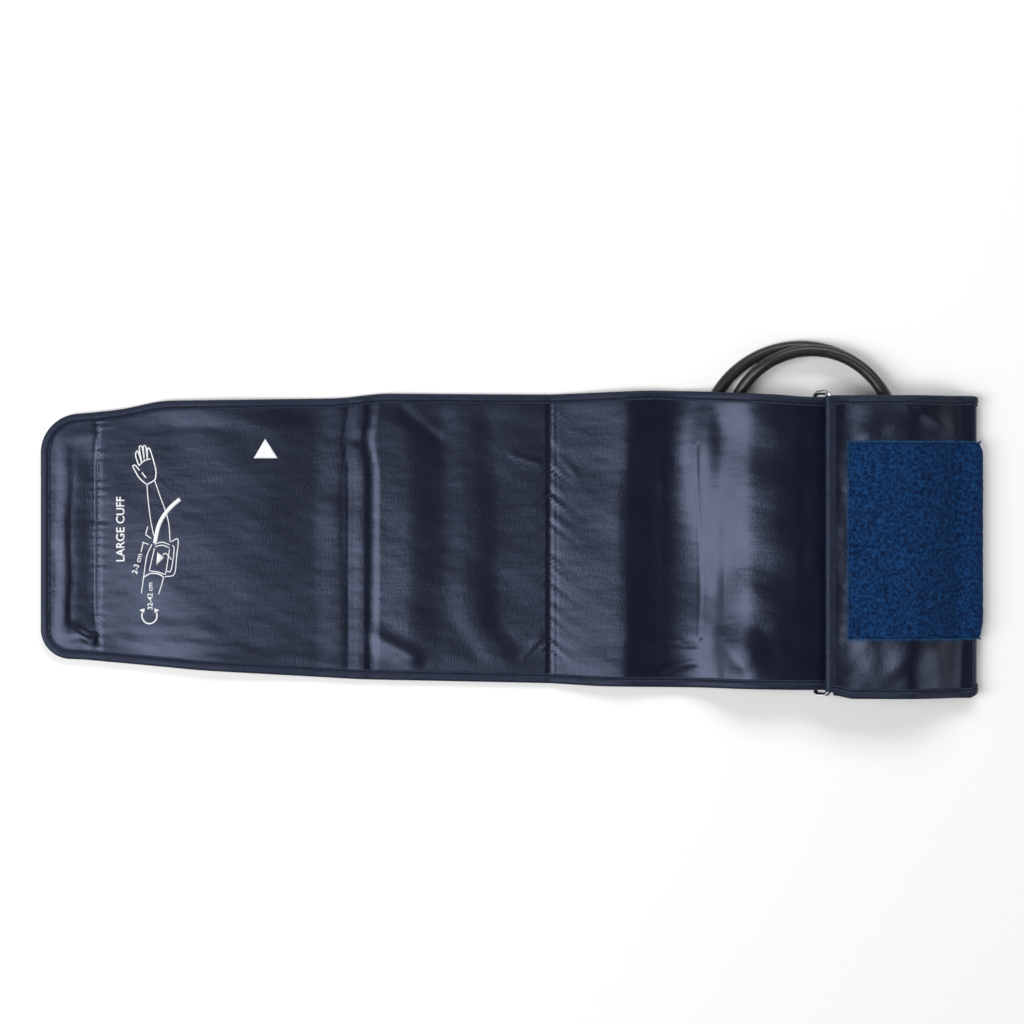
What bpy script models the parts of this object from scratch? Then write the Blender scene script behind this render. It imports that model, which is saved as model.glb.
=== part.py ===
"""Blood pressure cuff for a large arm, lying flat and threaded through its own metal bar ring.

One long strip of two nylon sheets holds a rubber bladder and has a bound edge. Seen from above, the
strip runs from its rounded tip (-X) over the ring's left bar, under its right bar, on to a fold (+X),
and back as a short flap whose end is a sleeve around the right bar. A coiled air hose lies underneath.
The frame's origin is the centre of the footprint on the floor. +X points from the tip to the fold,
and +Z points up.

A point of the strip has three numbers: s, the way along the strip, y, the way across it, and d, the
height over its middle plane, positive towards the face that touches the arm.
"""

import math

import bmesh
import bpy
import numpy as np
from mathutils import Matrix, Vector

MM = 0.001

# The strip's plan
TIP_X = -0.265
TIP_CORNER_R = 0.014
TIP_CREASE_X = -0.0832
TAIL_CREASE_X = 0.0223
FOLD_X = 0.25985
SLEEVE_SEAM_X = 0.1826
TOP_EDGE_X = [-0.265, -0.242, -0.220, -0.198, -0.096, -0.074, 0.022, 0.079, 0.107, 0.152, 0.165]
TOP_EDGE_Y = [0.0725, 0.0736, 0.0759, 0.0808, 0.0822, 0.0849, 0.0843, 0.0866, 0.0860, 0.0838, 0.0826]
BOTTOM_EDGE_X = [-0.265, -0.242, -0.175, -0.085, 0.022, 0.050, 0.107, 0.165]
BOTTOM_EDGE_Y = [-0.0650, -0.0657, -0.0719, -0.0770, -0.0792, -0.0808, -0.0815, -0.0824]
LOWER_LAYER_TOP_Y = 0.0824
FLAP_TOP_Y = 0.0834
FLAP_BOTTOM_Y = -0.0872

# The strip's height over the floor: it climbs over the hose and comes down again before the fold
FLAT_Z = 0.00215
RAISED_Z = 0.0156
RISE_X = (0.085, 0.120)
DROP_X = (0.222, 0.256)
LAYER_GAP = 0.0064

# The strip's layers
GAP = 0.0003
SKIN_T = 0.0005
SKIN_D = 0.0004
BLADDER_T = 0.0012
BLADDER_D = 0.00075
BULGE = 0.0015
PATCH_T = 0.0012
PATCH_D = -0.00155
BINDING_T = 0.0004
BINDING_D = 0.00115
BINDING_W = 0.0055
SKIN_INSET = BINDING_T / 2 + BINDING_D

BLADDER_X = (0.034, 0.244)
BLADDER_Y = (-0.066, 0.066)
BULGE_END_X = 0.253
LOOP_START_X = 0.0646
LOOP_END_X = 0.1906
LOOP_Y = (-0.0533, 0.0567)
HOOK_X = (-0.2565, -0.2340)
HOOK_Y = (-0.0560, 0.0640)

# The ring and the sleeve that holds its right bar
WIRE_R = 0.0015
BAR_RIGHT = Vector((0.1792, 0.0, 0.02055))
BAR_LEFT = Vector((0.1715, 0.0, 0.01145))
RING_HALF_LENGTH = 0.0851
RING_CORNER_R = 0.0035
SLEEVE_T = 0.0006
SLEEVE_R = 0.00215
SLEEVE_HALF_Y = 0.0805
SLEEVE_LAP_X = 0.1875

# The air hose: two turns, the second inside the first and on top of it along the right side
HOSE_R = 0.0034
TURN_1 = (0.1642, 0.0557, 0.0557)
TURN_2 = (0.1699, 0.0627, 0.0462)
LEAD_BEND = (0.1622, -0.0342, 0.0342)
FLOOR_HOSE_Z = 0.0035
UPPER_HOSE_Z = 0.0104
HOSE_POINTS = 48
PORT = Vector((0.1280, -0.0660, 0.0))
PORT_HOSE_Z = 0.0088
FLANGE_R = 0.0070
FLANGE_T = 0.0012
NOZZLE_R = 0.0033
NOZZLE_LENGTH = 0.0080
PLUG_R = 0.0045
PLUG_LENGTH = 0.0250


def clear_scene():
    for thing in list(bpy.data.objects):
        bpy.data.objects.remove(thing, do_unlink=True)


def new_collection(name):
    collection = bpy.data.collections.new(name)
    bpy.context.scene.collection.children.link(collection)
    return collection


def material(name, colour, roughness, metallic=0.0):
    made = bpy.data.materials.new(name)
    made.use_nodes = True
    shader = made.node_tree.nodes["Principled BSDF"]
    shader.inputs["Base Color"].default_value = (*colour, 1.0)
    shader.inputs["Roughness"].default_value = roughness
    shader.inputs["Metallic"].default_value = metallic
    made.diffuse_color = (*colour, 1.0)
    return made


def smooth_step(value, low, high):
    t = min(max((value - low) / (high - low), 0.0), 1.0)
    return t * t * (3.0 - 2.0 * t)


# ---- The strip's shape -------------------------------------------------------------------------

def lower_z(x):
    """Height of the middle plane where the strip runs outwards, from its tip to the fold."""
    return FLAT_Z + (RAISED_Z - FLAT_Z) * (smooth_step(x, *RISE_X) - smooth_step(x, *DROP_X))


FOLD_R = LAYER_GAP / 2
FOLD_END = FOLD_X + math.pi * FOLD_R


def flap_s(x):
    """The way along the strip to where its flap is over x."""
    return FOLD_END + FOLD_X - x


def strip_point(s, y, d):
    if FOLD_X < s < FOLD_END:
        turn = (s - FOLD_X) / FOLD_R - math.pi / 2
        reach = FOLD_R - d
        centre_z = lower_z(FOLD_X) + FOLD_R
        return Vector((FOLD_X + reach * math.cos(turn), y, centre_z + reach * math.sin(turn)))
    x = s if s <= FOLD_X else FOLD_END + FOLD_X - s
    step = 0.0001
    slope = (lower_z(x + step) - lower_z(x - step)) / (2 * step)
    normal = Vector((-slope, 0.0, 1.0)).normalized()
    if s <= FOLD_X:
        return Vector((x, y, lower_z(x))) + normal * d
    return Vector((x, y, lower_z(x) + LAYER_GAP)) - normal * d


def edges(s, inset=0.0):
    """The strip's low and high y at s, moved in by inset, with the tip's corners rounded."""
    if s > FOLD_END:
        return FLAP_BOTTOM_Y + inset, FLAP_TOP_Y - inset
    if s > FOLD_X:
        share = (s - FOLD_X) / (FOLD_END - FOLD_X)
        low = BOTTOM_EDGE_Y[-1] + share * (FLAP_BOTTOM_Y - BOTTOM_EDGE_Y[-1])
        high = LOWER_LAYER_TOP_Y + share * (FLAP_TOP_Y - LOWER_LAYER_TOP_Y)
        return low + inset, high - inset
    low = float(np.interp(s, BOTTOM_EDGE_X, BOTTOM_EDGE_Y)) + inset
    high = float(np.interp(s, TOP_EDGE_X, TOP_EDGE_Y)) - inset
    corner = TIP_CORNER_R - inset
    short = corner - (s - TIP_X - inset)
    if short > 0.0:
        cut = corner - math.sqrt(max(corner**2 - short**2, 0.0))
        low += cut
        high -= cut
    return low, high


def spaced(start, end, step):
    count = max(1, math.ceil(abs(end - start) / step))
    return [start + (end - start) * i / count for i in range(count + 1)]


def joined(*runs):
    """The runs one after another, without the points that they share."""
    line = list(runs[0])
    for run in runs[1:]:
        line += [value for value in run if abs(value - line[-1]) > 1e-6]
    return line


def outward_stations(start, end):
    """Stations from start to end on the outward run, closer together on its slopes."""
    marks = [start] + [m for m in (*RISE_X, *DROP_X) if start < m < end] + [end]
    runs = []
    for low, high in zip(marks[:-1], marks[1:]):
        on_slope = low in (RISE_X[0], DROP_X[0])
        runs.append(spaced(low, high, 0.005 if on_slope else 0.060))
    return joined(*runs)


def returning_stations(start_s, end_x):
    """Stations from start_s round the fold and back along the flap to end_x."""
    round_fold = spaced(FOLD_X, FOLD_END, FOLD_R * math.pi / 8)
    back = [flap_s(x) for x in reversed(outward_stations(end_x, FOLD_X))]
    return joined(outward_stations(start_s, FOLD_X), round_fold, back)


# ---- Building blocks ---------------------------------------------------------------------------

def mapped_grid(name, columns, rows, place):
    """An open grid whose vertex in column i and row j lies at place(i, j)."""
    mesh = bpy.data.meshes.new(name)
    grid = bmesh.new()
    bmesh.ops.create_grid(grid, x_segments=columns - 1, y_segments=rows - 1, size=0.5)
    for vertex in grid.verts:
        i = round((vertex.co.x + 0.5) * (columns - 1))
        j = round((vertex.co.y + 0.5) * (rows - 1))
        vertex.co = place(i, j)
    grid.to_mesh(mesh)
    grid.free()
    return mesh


def add_object(name, mesh, look, collection):
    made = bpy.data.objects.new(name, mesh)
    made.data.materials.append(look)
    collection.objects.link(made)
    return made


def thicken(made, thickness):
    solid = made.modifiers.new("Thickness", "SOLIDIFY")
    solid.thickness = thickness
    solid.offset = 0.0
    solid.use_even_offset = True


def sheet(name, stations, across, offset, thickness, look, collection):
    """A sheet along the strip: across(s) gives its rows' y, offset(s, j) its middle's d in row j."""
    rows = len(across(stations[0]))

    def place(i, j):
        s = stations[i]
        return strip_point(s, across(s)[j], offset(s, j))

    made = add_object(name, mapped_grid(name, len(stations), rows, place), look, collection)
    thicken(made, thickness)
    return made


def binding_section():
    """The binding's U: pairs of the way in from the strip's edge and the height d."""
    centre = SKIN_INSET
    arc = [math.pi / 2 - math.pi * k / 6 for k in range(7)]
    bend = [(centre - BINDING_D * math.cos(a), BINDING_D * math.sin(a)) for a in arc]
    return [(BINDING_W, BINDING_D), *bend, (BINDING_W, -BINDING_D)]


def bound_edge(name, line, look, collection):
    """A binding along line, a list of (s, y, inward s, inward y)."""
    section = binding_section()

    def place(i, j):
        s, y, in_s, in_y = line[i]
        reach, d = section[j]
        return strip_point(s + in_s * reach, y + in_y * reach, d)

    made = add_object(name, mapped_grid(name, len(line), len(section), place), look, collection)
    thicken(made, BINDING_T)
    return made


def side_binding(name, stations, side, look, collection):
    """A binding along the strip's low (side 0) or high (side 1) edge."""
    inward = 1.0 if side == 0 else -1.0
    line = [(s, edges(s)[side], 0.0, inward) for s in stations]
    return bound_edge(name, line, look, collection)


def tube(name, points, radius, look, collection, cyclic=False, resolution=2):
    data = bpy.data.curves.new(name, "CURVE")
    data.dimensions = "3D"
    data.bevel_depth = radius
    data.bevel_resolution = resolution
    data.use_fill_caps = not cyclic
    line = data.splines.new("POLY")
    line.points.add(len(points) - 1)
    for slot, point in zip(line.points, points):
        slot.co = (*point, 1.0)
    line.use_cyclic_u = cyclic
    made = bpy.data.objects.new(name, data)
    made.data.materials.append(look)
    collection.objects.link(made)
    return made


def cylinder_mesh(name, radius, length, low_end, turn=None, sides=24):
    """A cylinder from low_end along +Z, or along the axis that turn makes of it."""
    mesh = bpy.data.meshes.new(name)
    made = bmesh.new()
    bmesh.ops.create_cone(
        made, cap_ends=True, segments=sides, radius1=radius, radius2=radius, depth=length
    )
    place = Matrix.Translation(low_end) @ (turn or Matrix()) @ Matrix.Translation((0, 0, length / 2))
    made.transform(place)
    made.to_mesh(mesh)
    made.free()
    return mesh


def add_cutter(name, mesh, cutters):
    made = bpy.data.objects.new(name, mesh)
    made.hide_render = True
    made.display_type = "WIRE"
    cutters.objects.link(made)
    return made


def boolean(made, other, operation):
    step = made.modifiers.new(other.name, "BOOLEAN")
    step.operation = operation
    step.object = other


# ---- The strip's pieces ------------------------------------------------------------------------

def skin_rows(s):
    """Rows of a sheet of nylon: its edges, the bindings' inner edges, and the bladder's room."""
    low, high = edges(s, SKIN_INSET)
    beside_binding = BINDING_W - SKIN_INSET + 2 * GAP
    flat_top = beside_binding + 0.003
    return [
        low, low + beside_binding, low + flat_top,
        high - flat_top, high - beside_binding, high,
    ]


def bladder_bulge(s):
    """How far the arm's side of the strip stands off for the bladder, at s."""
    starts = smooth_step(s, TAIL_CREASE_X + 0.002, BLADDER_X[0] - 0.001)
    ends = smooth_step(s, BLADDER_X[1] + 0.001, BULGE_END_X)
    return BULGE * (starts - ends)


def arm_skin_offset(s, row):
    return SKIN_D + (bladder_bulge(s) if row in (2, 3) else 0.0)


def outer_skin_offset(s, row):
    return -SKIN_D


def tip_stations(inset):
    """Stations from the tip's edge to the tip's crease, close together round its corners."""
    corner = TIP_CORNER_R - inset
    round_corner = [
        TIP_X + inset + corner * (1 - math.cos(math.radians(a))) for a in range(0, 91, 15)
    ]
    marks = [m for m in TOP_EDGE_X if round_corner[-1] + MM < m < TIP_CREASE_X]
    return joined(round_corner, marks, [TIP_CREASE_X - GAP / 2])


def tip_outline():
    """The tip's edge as (s, y, inward s, inward y), from the crease round both corners and back."""
    stations = tip_stations(0.0)
    low = [(s, edges(s)[0]) for s in reversed(stations)]
    high = [(s, edges(s)[1]) for s in stations]
    line = low + high
    outline = []
    for i, (s, y) in enumerate(line):
        before = line[max(i - 1, 0)]
        after = line[min(i + 1, len(line) - 1)]
        along = Vector((after[0] - before[0], after[1] - before[1])).normalized()
        outline.append((s, y, along.y, -along.x))
    ends = (0, len(outline) - 1)
    for i in ends:
        s, y, _, in_y = outline[i]
        outline[i] = (s, y, 0.0, math.copysign(1.0, in_y))
    return outline


def make_tip(looks, parts):
    stations = tip_stations(SKIN_INSET)

    def rows(s):
        return list(edges(s, SKIN_INSET))

    sheet("tip_arm_skin", stations, rows, lambda s, j: SKIN_D, SKIN_T, looks["arm_nylon"], parts)
    sheet("tip_outer_skin", stations, rows, lambda s, j: -SKIN_D, SKIN_T, looks["nylon"], parts)
    bound_edge("tip_binding", tip_outline(), looks["binding"], parts)
    sheet(
        "hook_patch", list(HOOK_X), lambda s: list(HOOK_Y), lambda s, j: PATCH_D, PATCH_T,
        looks["hook"], parts,
    )


def make_middle(looks, parts):
    start = TIP_CREASE_X + GAP / 2
    end = TAIL_CREASE_X - GAP / 2
    stations = joined([start], [m for m in TOP_EDGE_X if start < m < end], [end])

    def rows(s):
        return list(edges(s, SKIN_INSET))

    sheet("middle_arm_skin", stations, rows, lambda s, j: SKIN_D, SKIN_T, looks["arm_nylon"], parts)
    sheet("middle_outer_skin", stations, rows, lambda s, j: -SKIN_D, SKIN_T, looks["nylon"], parts)
    side_binding("middle_binding_front", stations, 0, looks["binding"], parts)
    side_binding("middle_binding_back", stations, 1, looks["binding"], parts)


def make_ring_end(looks, parts, cutters):
    start = TAIL_CREASE_X + GAP / 2
    plain = returning_stations(start, SLEEVE_SEAM_X)
    bulge_marks = [0.026, 0.030, BLADDER_X[0] - 0.001, 0.050, BLADDER_X[1] + 0.001, BULGE_END_X]
    stations = sorted(set(plain + bulge_marks))

    sheet("arm_skin", stations, skin_rows, arm_skin_offset, SKIN_T, looks["arm_nylon"], parts)
    outer = sheet("outer_skin", plain, skin_rows, outer_skin_offset, SKIN_T, looks["nylon"], parts)
    hole = cylinder_mesh(
        "port_hole", NOZZLE_R + GAP, 0.006, Vector((PORT.x, PORT.y, RAISED_Z - 0.006))
    )
    boolean(outer, add_cutter("port_hole", hole, cutters), "DIFFERENCE")

    side_binding("binding_front", plain, 0, looks["binding"], parts)
    side_binding("binding_back", plain, 1, looks["binding"], parts)
    sheet(
        "bladder", outward_stations(*BLADDER_X), lambda s: list(BLADDER_Y),
        lambda s, j: BLADDER_D, BLADDER_T, looks["bladder"], parts,
    )
    sheet(
        "loop_patch", returning_stations(LOOP_START_X, LOOP_END_X), lambda s: list(LOOP_Y),
        lambda s, j: PATCH_D, PATCH_T, looks["loop"], parts,
    )


# ---- Ring and sleeve ---------------------------------------------------------------------------

def make_sleeve(looks, parts):
    """The hem around the right bar, from its lap under the flap, round the bar, to the flap's end."""
    lap = [(x, BAR_RIGHT.z - SLEEVE_R) for x in spaced(SLEEVE_LAP_X, BAR_RIGHT.x, 0.003)]
    angles = [math.radians(-90 - 180 * k / 10) for k in range(1, 11)]
    bend = [
        (BAR_RIGHT.x + SLEEVE_R * math.cos(a), BAR_RIGHT.z + SLEEVE_R * math.sin(a)) for a in angles
    ]
    line = lap + bend + [(SLEEVE_SEAM_X - GAP, BAR_RIGHT.z + SLEEVE_R)]

    def place(i, j):
        x, z = line[i]
        return Vector((x, (-SLEEVE_HALF_Y, SLEEVE_HALF_Y)[j], z))

    made = add_object("ring_sleeve", mapped_grid("ring_sleeve", len(line), 2, place),
                      looks["nylon"], parts)
    thicken(made, SLEEVE_T)


def make_ring(looks, parts):
    """A closed ring of wire with rounded corners, hung on its right bar."""
    across = BAR_LEFT - BAR_RIGHT
    width = across.length
    across.normalize()
    inner_half = RING_HALF_LENGTH - RING_CORNER_R
    corners = [
        (RING_CORNER_R, inner_half, 90), (RING_CORNER_R, -inner_half, 180),
        (width - RING_CORNER_R, -inner_half, 270), (width - RING_CORNER_R, inner_half, 0),
    ]
    points = []
    for u, y, first in corners:
        for k in range(5):
            a = math.radians(first + 90 * k / 4)
            corner_u = u + RING_CORNER_R * math.cos(a)
            points.append(across * corner_u + Vector((0.0, y + RING_CORNER_R * math.sin(a), 0.0)))
    made = tube("ring", points, WIRE_R, looks["steel"], parts, cyclic=True)
    made.location = BAR_RIGHT


# ---- Hose, port and plug -----------------------------------------------------------------------

def turn_points(turn, first, last, count, low_z, high_z):
    """Points round a turn (x, y, radius) from angle first to last, anticlockwise, as z changes."""
    x, y, radius = turn
    points = []
    for k in range(count + 1):
        share = k / count
        a = math.radians(first + (last - first) * share)
        z = low_z + (high_z - low_z) * smooth_step(share, 0.0, 1.0)
        points.append(Vector((x + radius * math.cos(a), y + radius * math.sin(a), z)))
    return points


def hose_route():
    nozzle_end = Vector((PORT.x, PORT.y + NOZZLE_LENGTH + GAP, PORT_HOSE_Z))
    lead_in = [
        nozzle_end,
        nozzle_end + Vector((0.0, 0.0117, -0.0004)),
    ]
    bend = turn_points(LEAD_BEND, 180, 96, 4, 0.0074, FLOOR_HOSE_Z)
    first_turn = turn_points(TURN_1, 277, 540, 12, FLOOR_HOSE_Z, FLOOR_HOSE_Z)
    inward = [
        Vector((0.1110, 0.0390, FLOOR_HOSE_Z)),
        Vector((0.1195, 0.0260, FLOOR_HOSE_Z)),
        Vector((0.1330, 0.0178, FLOOR_HOSE_Z)),
        Vector((0.1500, 0.0152, FLOOR_HOSE_Z)),
    ]
    along_floor = turn_points(TURN_2, -82, -65, 1, FLOOR_HOSE_Z, FLOOR_HOSE_Z)
    climb = turn_points(TURN_2, -50, 6, 5, FLOOR_HOSE_Z, UPPER_HOSE_Z)
    over = turn_points(TURN_2, 20, 102, 6, UPPER_HOSE_Z, UPPER_HOSE_Z)
    descent = turn_points(TURN_2, 117, 162, 4, 0.0100, 0.0038)
    end = [
        Vector((0.1241, 0.0670, 0.0043)),
        Vector((0.1238, 0.0580, PLUG_R)),
    ]
    return lead_in + bend + first_turn + inward + along_floor + climb + over + descent + end


def smooth_curve(points, count):
    """count points spaced evenly on the smooth curve through points."""
    padded = [2 * points[0] - points[1], *points, 2 * points[-1] - points[-2]]
    fine = []
    steps = 24
    for p0, p1, p2, p3 in zip(padded, padded[1:], padded[2:], padded[3:]):
        for k in range(steps):
            t = k / steps
            fine.append(0.5 * (
                2 * p1 + (p2 - p0) * t + (2 * p0 - 5 * p1 + 4 * p2 - p3) * t**2
                + (3 * p1 - p0 - 3 * p2 + p3) * t**3
            ))
    fine.append(points[-1])
    along = [0.0]
    for a, b in zip(fine[:-1], fine[1:]):
        along.append(along[-1] + (b - a).length)
    wanted = np.linspace(0.0, along[-1], count)
    return [Vector([np.interp(w, along, [p[k] for p in fine]) for k in range(3)]) for w in wanted]


def make_hose(looks, parts):
    line = smooth_curve(hose_route(), HOSE_POINTS)
    tube("air_hose", line, HOSE_R, looks["hose"], parts)

    forward = (line[-1] - line[-2]).normalized()
    turn = forward.to_track_quat("Z", "Y").to_matrix().to_4x4()
    start = line[-1] + forward * GAP
    plug = add_object(
        "air_plug", cylinder_mesh("air_plug", PLUG_R, 0.015, start, turn), looks["plastic"], parts
    )
    nose_mesh = cylinder_mesh(
        "air_plug_nose", 0.0026, PLUG_LENGTH - 0.005, start + forward * 0.005, turn
    )
    return plug, nose_mesh


def make_port(looks, parts, cutters):
    """The bladder's port: a barrel up through the skin, a flange under it and an elbow to the hose."""
    skin_low = RAISED_Z - SKIN_D - SKIN_T / 2
    flange_top = skin_low - GAP
    barrel_top = RAISED_Z + BLADDER_D - BLADDER_T / 2 - GAP
    elbow_low = PORT_HOSE_Z - NOZZLE_R
    flange = cylinder_mesh(
        "bladder_port", FLANGE_R, FLANGE_T, Vector((PORT.x, PORT.y, flange_top - FLANGE_T)), sides=32
    )
    made = add_object("bladder_port", flange, looks["rubber"], parts)
    barrel = cylinder_mesh(
        "port_barrel", NOZZLE_R - GAP, barrel_top - elbow_low, Vector((PORT.x, PORT.y, elbow_low)),
    )
    quarter = Matrix.Rotation(math.radians(-90), 4, "X")
    nozzle = cylinder_mesh(
        "port_nozzle", NOZZLE_R, NOZZLE_LENGTH, Vector((PORT.x, PORT.y, PORT_HOSE_Z)), quarter,
    )
    boolean(made, add_cutter("port_barrel", barrel, cutters), "UNION")
    boolean(made, add_cutter("port_nozzle", nozzle, cutters), "UNION")


def main():
    clear_scene()
    parts = new_collection("blood_pressure_cuff")
    cutters = new_collection("cutters")
    looks = {
        "arm_nylon": material("arm_nylon", (0.016, 0.020, 0.036), 0.45),
        "nylon": material("outer_nylon", (0.014, 0.018, 0.034), 0.42),
        "binding": material("binding_tape", (0.017, 0.024, 0.048), 0.60),
        "loop": material("loop_pile", (0.006, 0.040, 0.130), 0.95),
        "hook": material("hook_tape", (0.010, 0.014, 0.030), 0.80),
        "steel": material("plated_wire", (0.75, 0.75, 0.77), 0.20, 1.0),
        "hose": material("hose_rubber", (0.012, 0.012, 0.014), 0.38),
        "rubber": material("bladder_rubber", (0.020, 0.020, 0.022), 0.60),
        "bladder": material("bladder_sheet", (0.030, 0.030, 0.034), 0.60),
        "plastic": material("plug_plastic", (0.020, 0.020, 0.022), 0.35),
    }
    make_tip(looks, parts)
    make_middle(looks, parts)
    make_ring_end(looks, parts, cutters)
    make_sleeve(looks, parts)
    make_ring(looks, parts)
    make_port(looks, parts, cutters)
    plug, nose = make_hose(looks, parts)
    boolean(plug, add_cutter("plug_nose", nose, cutters), "UNION")


main()
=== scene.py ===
"""The looks of the blood pressure cuff: creased nylon, bound and stitched edges, pile, ring, hose and print.

A point of the strip has three numbers, as in the CAD: s, the way along it from its tip, y, the way
across it, and d, the height over its middle plane, positive towards the face that touches the arm.
"""

import math

import bpy
import numpy as np
from mathutils import Matrix, Vector


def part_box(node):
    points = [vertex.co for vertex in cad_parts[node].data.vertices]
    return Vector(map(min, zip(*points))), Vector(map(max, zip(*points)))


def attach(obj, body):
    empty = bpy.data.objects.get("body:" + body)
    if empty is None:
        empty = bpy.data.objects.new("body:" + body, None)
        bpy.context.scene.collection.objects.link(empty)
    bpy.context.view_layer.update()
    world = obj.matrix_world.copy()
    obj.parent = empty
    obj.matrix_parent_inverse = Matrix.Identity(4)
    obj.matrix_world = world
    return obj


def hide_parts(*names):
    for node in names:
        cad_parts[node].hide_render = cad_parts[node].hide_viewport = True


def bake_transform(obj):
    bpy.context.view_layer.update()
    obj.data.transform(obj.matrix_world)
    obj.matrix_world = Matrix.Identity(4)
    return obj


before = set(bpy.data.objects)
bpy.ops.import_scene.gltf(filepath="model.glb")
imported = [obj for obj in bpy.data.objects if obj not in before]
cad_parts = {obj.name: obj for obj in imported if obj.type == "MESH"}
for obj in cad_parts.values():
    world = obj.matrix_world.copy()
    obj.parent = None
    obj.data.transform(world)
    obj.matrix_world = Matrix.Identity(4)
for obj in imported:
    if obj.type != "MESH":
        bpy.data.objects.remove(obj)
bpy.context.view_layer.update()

# ---- Sizes, in metres --------------------------------------------------------------------------

# The strip's outline in plan, with the places of its creases, its fold and its seams
TIP_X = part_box("tip_binding")[0].x - 0.0010
TIP_CORNER_R = (0.0165, 0.0210)
TAIL_CREASE_X = 0.0223
SPLIT_X = -0.0300
FOLD_X = 0.25985
FLAP_END_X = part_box("ring_sleeve")[1].x - 0.0052
BINDING_END_X = 0.1812
TOP_EDGE_X = [-0.265, -0.242, -0.220, -0.198, -0.096, -0.074, 0.022, 0.079, 0.107, 0.152, 0.165]
TOP_EDGE_Y = [0.0725, 0.0736, 0.0759, 0.0808, 0.0822, 0.0849, 0.0843, 0.0866, 0.0860, 0.0838, 0.0826]
BOTTOM_EDGE_X = [-0.265, -0.242, -0.175, -0.085, 0.022, 0.050, 0.107, 0.165]
BOTTOM_EDGE_Y = [-0.0650, -0.0657, -0.0719, -0.0770, -0.0792, -0.0808, -0.0815, -0.0824]
FLAP_TOP_Y = 0.0834
FLAP_BOTTOM_Y = -0.0872

# Its path from the side, and the looks' own way over the hose: from x, to x, height and rounding
FLAT_Z = 0.00215
RAISED_Z = 0.0156
RISE_X = (0.085, 0.120)
DROP_X = (0.222, 0.256)
LAYER_GAP = 0.0064
FOLD_R = LAYER_GAP / 2
FOLD_END = FOLD_X + math.pi * FOLD_R
HOSE_SIDE_CLIMB = (0.1032, 0.1335, 0.0168, 0.0062)
FREE_SIDE_CLIMB = (0.1072, 0.1335, 0.0168, 0.0058)
BEFORE_RING = (
    (0.1340, 0.1470, 0.0004, 0.0040),
    (0.1490, 0.1620, -0.0008, 0.0040),
    (0.1625, 0.1745, -0.00295, 0.0030),
)

# Its layers, with heights over the middle plane, and the binding
SKIN_T = 0.0005
SKIN_D = 0.0004
FACE_D = SKIN_D + SKIN_T / 2
BULGE = 0.0013
BINDING_R = 0.00135
BINDING_T = 0.0004
BINDING_W = 0.0056
STITCH_IN = 0.0042
SKIN_INSET = BINDING_R

# The patches and the bladder
LOOP_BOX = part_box("loop_patch")
LOOP_END_X = 0.1898
LOOP_Y = (LOOP_BOX[0].y, LOOP_BOX[1].y)
HOOK_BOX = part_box("hook_patch")
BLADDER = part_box("bladder")
PATCH_D = -0.00155
PATCH_T = 0.0012

# The ring, by the middle of its wire, and the sleeve
BAR_X = 0.1792
BAR_Z = 0.02055
OTHER_BAR = (0.1715, 0.01145)
WIRE_R = 0.0015
RING_HALF_LENGTH = 0.0851
RING_CORNER_R = 0.0035
SLEEVE_R = 0.00215
SLEEVE_Y = (-0.0834, 0.0832)
SLEEVE_LAP_X = 0.1875

# The hose, each turn as x, y and radius, and its two ends
HOSE_D = 0.0068
TURN_1 = (0.1642, 0.0557, 0.0557)
TURN_2 = (0.1699, 0.0627, 0.0462)
LEAD_BEND = (0.1622, -0.0342, 0.0342)
FLOOR_HOSE_Z = 0.0035
UPPER_HOSE_Z = 0.0104
PORT = Vector((0.1280, -0.0660, 0.0088))
NOZZLE_LENGTH = 0.0080
NOZZLE_R = 0.0032
PLUG_R = 0.0045

# The picture, the floor, and the meshes' pitch
PICTURE_WIDTH = 0.5775
SENSOR_WIDTH = 36.0
CAMERA_HEIGHT = 2.2
CAMERA_AT = (0.00085, 0.0178)
MIDDLE_Z = 0.0120
FLOOR_Z = -0.0003
FINE = 0.0015

random = np.random.default_rng(7)


# ---- The strip's surface -----------------------------------------------------------------------

def step(value, low, high):
    t = np.clip((np.asarray(value, float) - low) / (high - low), 0.0, 1.0)
    return t * t * (3.0 - 2.0 * t)


def bell(value, centre, width):
    return np.exp(-(((value - centre) / width) ** 2))


def lower_z(x):
    return FLAT_Z + (RAISED_Z - FLAT_Z) * (step(x, *RISE_X) - step(x, *DROP_X))


def flap_s(x):
    return FOLD_END + FOLD_X - x


def edges(s, inset=0.0):
    """The strip's low and high y at each s, moved in by inset, with the tip's corners rounded.

    The flap's front edge runs in a little towards the ring.
    """
    s = np.asarray(s, float)
    blur = np.linspace(-0.006, 0.006, 7)
    low = np.mean([np.interp(s + b, BOTTOM_EDGE_X, BOTTOM_EDGE_Y) for b in blur], axis=0)
    high = np.mean([np.interp(s + b, TOP_EDGE_X, TOP_EDGE_Y) for b in blur], axis=0)
    share = np.clip((s - FOLD_X) / (FOLD_END - FOLD_X), 0.0, 1.0)
    low = low + share * (FLAP_BOTTOM_Y - BOTTOM_EDGE_Y[-1]) + inset
    low = low + 0.0020 * step(s, flap_s(0.1930), flap_s(0.1812))
    high = high + share * (FLAP_TOP_Y - TOP_EDGE_Y[-1]) - inset
    cuts = []
    for radius in TIP_CORNER_R:
        corner = radius - inset
        short = np.clip(corner - (s - TIP_X - inset), 0.0, corner)
        cuts.append(corner - np.sqrt(corner**2 - short**2))
    return low + cuts[0], high - cuts[1]


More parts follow.
